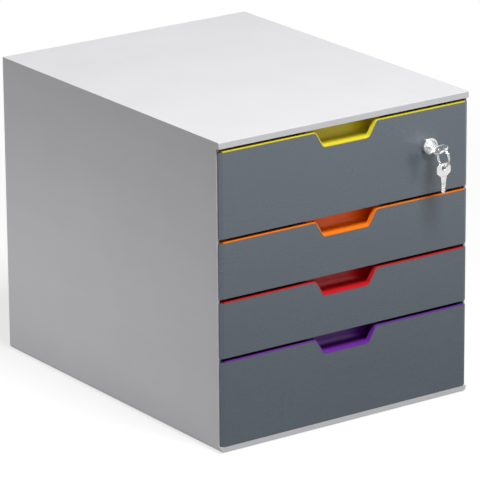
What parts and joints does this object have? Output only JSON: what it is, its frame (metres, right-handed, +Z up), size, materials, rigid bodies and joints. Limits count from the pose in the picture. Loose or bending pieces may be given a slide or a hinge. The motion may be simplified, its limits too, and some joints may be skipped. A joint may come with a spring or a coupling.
{
  "type": "desktop file drawer",
  "caption": "Desktop file drawer: a moulded casing with coloured trays that slide out behind notched front panels, and a cam lock with keys on a split ring.",
  "frame": {"origin": "under the middle of the casing, on the surface that it stands on", "axes": "+Z up, -Y towards the drawers' fronts, +X to the right as seen from the front"},
  "size_m": [0.28, 0.3867, 0.292],
  "materials": {
    "casing_grey": "light grey moulded plastic with a fine satin grain",
    "front_grey": "dark slate grey moulded plastic, smooth satin",
    "yellow": "yellow moulded plastic, semi-gloss",
    "orange": "orange moulded plastic, semi-gloss",
    "red": "red moulded plastic, semi-gloss",
    "purple": "purple moulded plastic, semi-gloss",
    "rubber": "dark grey rubber",
    "lock_chrome": "bright plated zinc",
    "steel": "bright zinc-plated steel",
    "brass": "stamped brass",
    "key_nickel": "nickel-plated, satin from stamping"
  },
  "bodies": {
    "casing": {"casing": "casing_grey", "back_panel": "casing_grey", "lock_strike": "steel", "foot_front_left": "rubber", "foot_rear_left": "rubber", "foot_front_right": "rubber", "foot_rear_right": "rubber"},
    "drawer_1": {"tray_1": "yellow", "front_panel_1": "front_grey", "lock_housing": "lock_chrome", "lock_nut": "steel"},
    "drawer_2": {"tray_2": "orange", "front_panel_2": "front_grey"},
    "drawer_3": {"tray_3": "red", "front_panel_3": "front_grey"},
    "drawer_4": {"tray_4": "purple", "front_panel_4": "front_grey"},
    "lock": {"lock_plug": "lock_chrome", "lock_wafers": "brass", "lock_cam": "steel", "cam_washer": "steel", "cam_screw": "steel"},
    "key": {"key": "key_nickel"},
    "split_ring": {"key_ring": "steel"},
    "spare_key": {"spare_key": "key_nickel"}
  },
  "joints": [
    {"name": "drawer_1_slide", "type": "slide", "parent": "casing", "child": "drawer_1", "axis": [0, -1, 0], "range_m": [0, 0.25]},
    {"name": "drawer_2_slide", "type": "slide", "parent": "casing", "child": "drawer_2", "axis": [0, -1, 0], "range_m": [0, 0.25]},
    {"name": "drawer_3_slide", "type": "slide", "parent": "casing", "child": "drawer_3", "axis": [0, -1, 0], "range_m": [0, 0.25]},
    {"name": "drawer_4_slide", "type": "slide", "parent": "casing", "child": "drawer_4", "axis": [0, -1, 0], "range_m": [0, 0.25]},
    {"name": "lock_turn", "type": "hinge", "parent": "drawer_1", "child": "lock", "pos_m": [0.0935, -0.18, 0.2483], "axis": [0, 1, 0], "range_deg": [0, 90]},
    {"name": "key_pull", "type": "slide", "parent": "lock", "child": "key", "axis": [0, -1, 0], "range_m": [0, 0.0125]},
    {"name": "ring_swing", "type": "hinge", "parent": "key", "child": "split_ring", "pos_m": [0.0935, -0.1996, 0.2483], "axis": [-1, 0, 0], "range_deg": [-1, 75]},
    {"name": "spare_key_swing", "type": "hinge", "parent": "split_ring", "child": "spare_key", "pos_m": [0.09384, -0.1996, 0.23336], "axis": [0, 1, 0], "range_deg": [-40, 40]}
  ]
}
